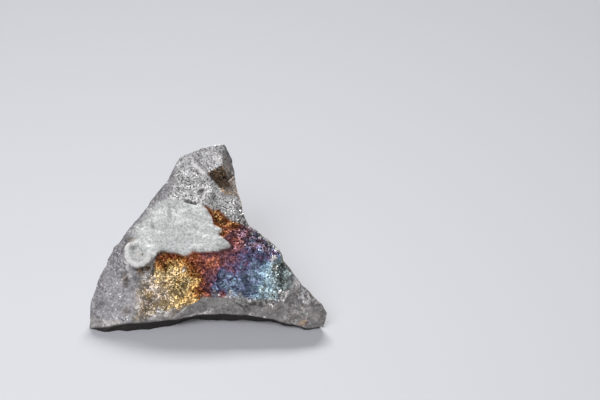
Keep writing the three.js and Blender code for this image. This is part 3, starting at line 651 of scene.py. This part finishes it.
# a straw smudge low on the tail, wider than it is high
SMUDGE_FILM, SMUDGE_TARNISH = 0.26, 0.6
smudge = spots([(19.0, -17.0, 1.5, (1.8, 1.0, 0.7), 1.0)])
film += smudge * (SMUDGE_FILM - film)
tarnish = np.maximum(tarnish, SMUDGE_TARNISH * smudge)

# The skin's own colour fades into the matt strip on its left, and covers the bubble's lip and floor.
SKIN_COLOUR_EDGE = np.array([
    (-11.4, -7.7), *SKIN_SIDES, (-4.9, 2.9), (-7.9, 3.6), (-10.6, 2.8), (-12.9, 0.7), (-15.1, -1.6),
    (-15.6, -3.4), (-13.0, -4.6),
])
skin_softness = 0.25 + 1.3 * smoothstep(-9.0, -12.0, points[:, 0]) * smoothstep(-5.0, -3.0, points[:, 1])
skin = distance_to_outline(ragged(points, RAGGED_LENGTH, RAGGED_REACH, RAGGED_SEED), SKIN_COLOUR_EDGE)
skin = smoothstep(skin_softness, -skin_softness, skin) * smoothstep(-0.2, 0.3, outward[:, 2])
on_bubble = smoothstep(3.1, 2.8, from_bubble + 0.2 * swell(points, 0.8, 231))
skin = np.maximum(skin, on_bubble * smoothstep(1.1, 0.8, in_plan @ OPEN_SIDE))

# Brown rust: grains of it in the notch, fewer right of it and on the hidden sides, and brown spots,
# each with its place (x, y, z), its reach and its strength.
RUST_SPOTS = [
    (-15.8, -3.7, 12.3, 0.8, 0.4), (-14.4, -6.4, 10.7, 0.8, 0.15), (-13.8, -8.9, 8.5, 0.9, 0.8),
    (-12.6, -8.8, 9.0, 0.7, 0.7), (-16.8, -9.6, 7.3, 0.9, 0.4), (-16.3, -15.6, 3.5, 0.9, 0.25),
]
rust = np.maximum.reduce([
    0.9 * notch,
    0.45 * share_of_faces(BESIDE_NOTCH) * smoothstep(23.6, 21.6, points[:, 2]),
    HIDDEN_RUST * hidden * smoothstep(0.1, 0.5, swell(points, 5.0, 301)),
    0.2 * tail * smoothstep(0.4, 0.8, blotch),
    0.1 * rim,
    spots(RUST_SPOTS),
])

# Dark stains and painted shade, in the same way, dark specks of the rim, and the grey creases of the
# skin. A crease has its start and end from above, its half width and its strength.
STAINS_AND_SHADE = [
    # round the bubble
    (-15.8, -3.7, 12.3, 0.8, 0.35), (-15.6, -4.9, 11.6, 0.6, 0.5), (-13.6, -6.5, 10.9, 0.3, 0.8),
    (-13.8, -8.9, 8.5, 0.9, 0.4), (-12.6, -8.8, 9.0, 0.5, 0.8),
    # on the flank
    (-17.0, -8.8, 7.8, 0.6, 0.6), (-16.8, -9.9, 7.1, 0.6, 0.7), (-16.7, -11.0, 6.5, 0.6, 0.65),
    (-16.1, -15.5, 3.6, 0.8, 0.25), (-14.7, -16.0, 3.6, 0.9, 0.3), (-12.3, -15.2, 3.6, 0.7, 0.4),
    # on the skin and above it
    (-4.2, 2.7, 17.4, 1.0, 0.3), (2.5, -5.9, 12.3, 1.5, 0.15), (-1.9, 5.0, 18.6, 0.8, 0.9),
    (0.4, 3.9, 17.7, 1.0, 0.4),
    # painted shade on the tarnish right of the skin, deepening towards its dark right end
    (1.0, 1.0, 16.3, 1.8, 0.3), (3.4, -0.8, 15.2, 1.8, 0.3), (5.8, -2.6, 14.0, 2.2, 0.45),
    (9.0, -4.2, 12.9, 2.4, 0.65), (11.8, -5.6, 12.1, 1.8, 0.75),
    # on the tail
    (16.7, -15.2, 4.8, 0.8, 0.4), (19.6, -17.1, 1.2, 0.9, 0.3),
]
CREASES = [
    ((-8.5, 2.2), (-8.1, -0.2), 0.35, 0.55), ((-7.6, 2.0), (-6.8, 0.7), 0.25, 0.4),
    ((-13.9, -0.2), (-12.4, 0.3), 0.3, 0.45), ((-11.8, -1.0), (-11.5, -2.0), 0.3, 0.45),
    ((-9.3, -1.0), (-8.6, -2.6), 0.25, 0.25), ((-5.5, -3.4), (-4.0, -3.8), 0.22, 0.3),
    ((-3.4, -1.6), (-2.6, -2.9), 0.22, 0.3), ((-4.4, 1.6), (-3.6, 0.2), 0.22, 0.25),
]
rim_specks = (0.25 * rim + 0.4 * glittering_rim) * smoothstep(0.1, 0.5, swell(points, 0.45, 261))
stain_and_shade = np.maximum.reduce([rim_specks, 0.08 * tail, spots(STAINS_AND_SHADE)])
for start, end, width, strength in CREASES:
    crease = (distance_to_line(points[:, :2], start, end) + 0.15 * swell(points, 0.5, 271)) / width
    stain_and_shade = np.maximum(stain_and_shade, strength * skin * bell(crease))

# Pale bare metal and painted highlights: the bubble's lip, whitened as a painted highlight, and its
# dome, specks of the rim, a painted highlight along the ridge left of the notch, and patches
# (x, y, z, reach, strength), the first three of them painted glints.
PALE_AND_GLINT_PATCHES = [
    (-11.3, -7.1, 11.6, 0.5, 0.8), (-9.8, -15.2, 3.0, 1.3, 0.9), (-8.7, -15.3, 2.7, 1.0, 0.8),
    (-14.1, -15.3, 4.1, 0.8, 0.6), (1.2, 11.3, 22.4, 1.6, 0.25), (1.3, -13.9, 6.8, 0.8, 0.15),
    (4.6, -13.9, 7.0, 0.9, 0.15), (-1.0, -14.7, 6.0, 1.0, 0.25), (13.1, -8.0, 10.8, 0.9, 0.3),
    (13.6, -9.8, 9.9, 0.8, 0.25), (-17.7, -10.0, 7.0, 0.7, 0.5), (-16.0, -9.2, 7.8, 0.6, 0.35),
    (21.3, -16.3, 2.6, 1.8, 0.3),
]
pale = np.maximum.reduce([
    0.6 * smoothstep(0.3, 0.9, lip),
    0.5 * smoothstep(0.3, 0.8, dome),
    rim * (0.15 + 0.2 * smoothstep(0.0, 0.5, swell(points, 0.6, 311))),
    0.6 * bell(distance_to_line(points, (-3.7, 10.2, 21.6), (-1.0, 9.0, 20.4)) / 0.4),
    spots(PALE_AND_GLINT_PATCHES, outer=1.1, inner=0.2),
])

# Painted shade, near black: the undercut below the rim, the sole, the crack behind the skin, and
# thinly the lowest side of the notch.
painted_shade = np.maximum.reduce([
    undercut,
    smoothstep(-0.3, -0.6, outward[:, 2]) * smoothstep(3.0, 1.5, points[:, 2]),
    0.9 * bell(distance_to_line(points, (-5.0, 3.2, 17.6), (-3.0, 2.5, 17.3)) / 0.25),
    0.5 * share_of_faces((LOWEST_IN_NOTCH,)),
])

# The ground cuts the lump off level, and its box is the CAD lump's, a hundredth of a millimetre less
# on each side.
MM = 0.001
INSIDE = 0.01
bumpy[:, 2] = np.maximum(bumpy[:, 2], 0.0)
low, high = (np.array(corner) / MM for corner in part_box("ferromolybdenum_lump"))
low, high = low + INSIDE, high - INSIDE
bumpy = low + (bumpy - bumpy.min(axis=0)) * (high - low) / np.ptp(bumpy, axis=0)

lump_mesh = bpy.data.meshes.new("ferromolybdenum lump")
lump_mesh.from_pydata(bumpy * MM, [], triangles)
lump_mesh.shade_smooth()
lump = bpy.data.objects.new("ferromolybdenum_broken_lump", lump_mesh)
bpy.context.scene.collection.objects.link(lump)

# one number per point of the lump for each part of its finish, painted shade and highlights among
# them, read in this order by the material
FINISH = {"film": film, "tarnish": tarnish, "skin": skin, "matt": matt, "fine": under_crown,
          "crystal": grain * crystal, "rust": rust, "stain_and_shade": stain_and_shade, "pale": pale, "painted_shade": painted_shade}
for name, values in FINISH.items():
    attribute = lump_mesh.attributes.new(name, "FLOAT", "POINT")
    attribute.data.foreach_set("value", np.asarray(values, np.float32))

# Ferromolybdenum, a grey metal alloy, as cast and broken. A fresh break glitters, because each crystal
# is a small mirror. Where it is matt it has only a few glints, and its casting skin is pale and dull.
# The numbers that the mesh carries say how much of each finish a point has.
BIG_MIRROR, SMALL_MIRROR = 0.45, 0.27    # finer crystals are drawn this coarse, so that they show
CLOUD, SPECK = 1.6, 0.4         # sizes of the uneven tone of matt metal and skin
TILT = 0.55                     # how far the mirrors lean, then how much more where tarnished, fine
TARNISHED_TILT, FINE_TILT, CALM_TILT = 0.2, -0.3, -0.8 * TILT    # or calm, as matt metal and skin are
FILM_SPREAD = 0.10              # how much the film's thickness differs from crystal to crystal
BARE_METALLIC, COVERED_METALLIC = 0.95, 0.05
BARE_ROUGHNESS, COVERED_ROUGHNESS, FILM_ROUGHNESS = 0.34, 0.69, 0.15    # the last comes on top
HALF = (0.5, 0.5, 0.5)

metal, tree = new_material("ferromolybdenum")
place = add_node(tree, "ShaderNodeTexCoord").outputs["Object"]
normal = add_node(tree, "ShaderNodeNewGeometry").outputs["Normal"]
thickness, tarnished, skinned, dulled, fine, relief, rusty, stain_and_shade_share, pale_and_highlight_share, painted_shade_share = (
    add_node(tree, "ShaderNodeAttribute", attribute_name=name).outputs["Fac"] for name in FINISH)

# small mirrors in two sizes, of which fine-grained places have only the small: each leans its own way
big, small = (
    add_node(tree, "ShaderNodeTexVoronoi", {"Vector": place, "Scale": 1.0 / (size * MM)}).outputs["Color"]
    for size in (BIG_MIRROR, SMALL_MIRROR))
big_share = add_node(tree, "ShaderNodeMath", {0: 1.0, 1: fine}, operation="SUBTRACT")
lean = add_node(tree, "ShaderNodeVectorMath", {0: big, 1: HALF}, operation="SUBTRACT")
lean = add_node(tree, "ShaderNodeVectorMath", {0: lean, "Scale": big_share}, operation="SCALE")
lean = add_node(tree, "ShaderNodeVectorMath", {0: lean, 1: small})
lean = add_node(tree, "ShaderNodeVectorMath", {0: lean, 1: HALF}, operation="SUBTRACT")
calm = add_node(tree, "ShaderNodeMath", {0: skinned, 1: dulled}, operation="MAXIMUM")
tilt = TILT
for share, more in ((tarnished, TARNISHED_TILT), (fine, FINE_TILT), (calm, CALM_TILT)):
    tilt = add_node(tree, "ShaderNodeMath", {0: share, 1: more, 2: tilt}, operation="MULTIPLY_ADD")
lean = add_node(tree, "ShaderNodeVectorMath", {0: lean, "Scale": tilt}, operation="SCALE")
lean = add_node(tree, "ShaderNodeVectorMath", {0: lean, 1: normal})
mirror = add_node(tree, "ShaderNodeVectorMath", {0: lean}, operation="NORMALIZE")

# three random numbers for each small mirror, and one for each big one
chance = add_node(tree, "ShaderNodeSeparateColor", {"Color": small}).outputs
chance_big = add_node(tree, "ShaderNodeSeparateColor", {"Color": big}).outputs[0]

# oxide film, thin to thick: straw, gold, brown, rust, maroon, mauve, violet, blue, pale blue, grey
FILM_COLOURS = [
    (0.04, "#cdc0b2"), (0.12, "#ecd0a2"), (0.20, "#ffdc96"), (0.28, "#ffcc80"), (0.33, "#a8622e"),
    (0.37, "#743f1c"), (0.42, "#ee9674"), (0.47, "#9c5a5a"), (0.51, "#84595a"), (0.56, "#ac7478"),
    (0.61, "#a06e74"), (0.65, "#906c88"), (0.71, "#666c94"), (0.76, "#a6b4ce"), (0.82, "#9ec0d7"),
    (0.90, "#dcf8ff"), (0.96, "#c2d1cb"), (1.0, "#808685"),
]
uneven = add_node(tree, "ShaderNodeMath", {0: chance[0], 1: FILM_SPREAD, 2: thickness},
                  operation="MULTIPLY_ADD")
uneven = add_node(tree, "ShaderNodeMath", {0: uneven, 1: FILM_SPREAD / 2}, operation="SUBTRACT")
film_ramp = add_node(tree, "ShaderNodeValToRGB", {0: uneven})
stops = film_ramp.color_ramp.elements
for index, (position, hex_colour) in enumerate(FILM_COLOURS):
    stop = stops[index] if index < 2 else stops.new(position)
    stop.position = position
    stop.color = linear(hex_colour)
shade = add_node(tree, "ShaderNodeMix", {0: chance_big, 6: linear("#d4d4d4"), 7: linear("#ffffff")},
                 data_type="RGBA")
film_colour = add_node(tree, "ShaderNodeMix", {0: 1.0, 6: film_ramp, 7: shade}, data_type="RGBA",
                       blend_type="MULTIPLY")

# clean metal: grey to light grey crystals, and a pepper of dark ones and painted glints where it is fine
coarse = add_node(tree, "ShaderNodeMix", {0: chance[1], 6: linear("#777674"), 7: linear("#d6d5d1")},
                  data_type="RGBA")
pepper = add_node(tree, "ShaderNodeMapRange", {"Value": chance[1], "From Max": 0.62})
pepper = add_node(tree, "ShaderNodeMix", {0: pepper, 6: linear("#33302e"), 7: linear("#d0cfcc")},
                  data_type="RGBA")
glint = add_node(tree, "ShaderNodeMapRange", {"Value": chance[1], "From Min": 0.9})
pepper = add_node(tree, "ShaderNodeMix", {0: glint, 6: pepper, 7: linear("#ffffff")}, data_type="RGBA")
clean = add_node(tree, "ShaderNodeMix", {0: fine, 6: coarse, 7: pepper}, data_type="RGBA")

# matt metal with a few painted glints, and casting skin, clouded and specked
cloud = add_node(tree, "ShaderNodeTexNoise", {
    "Vector": place, "Scale": 1.0 / (CLOUD * MM), "Detail": 6.0, "Roughness": 0.7})
speck = add_node(tree, "ShaderNodeTexNoise", {"Vector": place, "Scale": 1.0 / (SPECK * MM), "Detail": 2.0})
tone = add_node(tree, "ShaderNodeMix", {0: 0.6, 2: cloud, 3: speck}, data_type="FLOAT")
tone = add_node(tree, "ShaderNodeMapRange", {"Value": tone, "From Min": 0.38, "From Max": 0.62})
matt_metal = add_node(tree, "ShaderNodeMix", {0: tone, 6: linear("#6e6c6d"), 7: linear("#9b999a")},
                      data_type="RGBA")
glint = add_node(tree, "ShaderNodeMapRange", {"Value": chance[1], "From Min": 0.95})
matt_metal = add_node(tree, "ShaderNodeMix", {0: glint, 6: matt_metal, 7: linear("#e2e2e0")},
                      data_type="RGBA")
casting_skin = add_node(tree, "ShaderNodeMix", {0: tone, 6: linear("#b4b6b2"), 7: linear("#e6e9e4")},
                        data_type="RGBA")

# rust, near black in most grains and tan in a few
tan = add_node(tree, "ShaderNodeMath", {0: chance[2], 1: 2.2}, operation="POWER")
rust_colour = add_node(tree, "ShaderNodeMix", {0: tan, 6: linear("#1a120e"), 7: linear("#e0b88c")},
                       data_type="RGBA")
rust_grains = add_node(tree, "ShaderNodeMath", {0: chance[0], 1: 0.5}, operation="ADD")
rust_grains = add_node(tree, "ShaderNodeMath", {0: rust_grains, 1: rusty}, operation="MULTIPLY",
                       use_clamp=True)

# one over the other: clean metal, matt metal, film, skin, pale metal and painted highlights, rust,
# stains and painted shade, painted shade in the valleys between crystals, whose relief is in
# millimetres, and near-black painted shade
valley = add_node(tree, "ShaderNodeMapRange", {
    "Value": relief, "From Min": -0.14, "From Max": 0.0, "To Min": 0.55, "To Max": 0.0})
colour = clean
for share, over in ((dulled, matt_metal), (tarnished, film_colour), (skinned, casting_skin),
                    (pale_and_highlight_share, linear("#faf7f1")), (rust_grains, rust_colour), (stain_and_shade_share, linear("#30271f")),
                    (valley, linear("#000000")), (painted_shade_share, linear("#2b2724"))):
    colour = add_node(tree, "ShaderNodeMix", {0: share, 6: colour, 7: over}, data_type="RGBA")

# what covers the metal makes it rough and takes away its metallic look, and a thick film roughens it
cover = 0.0
for share, strength in ((dulled, 0.45), (skinned, 0.95), (rust_grains, 0.4), (fine, 0.35), (painted_shade_share, 1.0)):
    cover = add_node(tree, "ShaderNodeMath", {0: share, 1: strength, 2: cover},
                     operation="MULTIPLY_ADD", use_clamp=True)
metallic = add_node(tree, "ShaderNodeMapRange", {
    "Value": cover, "To Min": BARE_METALLIC, "To Max": COVERED_METALLIC})
thick = add_node(tree, "ShaderNodeMapRange", {"Value": thickness, "From Min": 0.24, "From Max": 0.33})
thick = add_node(tree, "ShaderNodeMath", {0: tarnished, 1: thick}, operation="MULTIPLY")
roughness = add_node(tree, "ShaderNodeMapRange", {
    "Value": cover, "To Min": BARE_ROUGHNESS, "To Max": COVERED_ROUGHNESS})
roughness = add_node(tree, "ShaderNodeMath", {0: thick, 1: FILM_ROUGHNESS, 2: roughness},
                     operation="MULTIPLY_ADD")
shader = add_node(tree, "ShaderNodeBsdfPrincipled", {
    "Base Color": colour, "Metallic": metallic, "Roughness": roughness, "Normal": mirror})
add_node(tree, "ShaderNodeOutputMaterial", {"Surface": shader})
lump_mesh.materials.append(metal)

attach(lump, "root")
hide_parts("ferromolybdenum_lump")
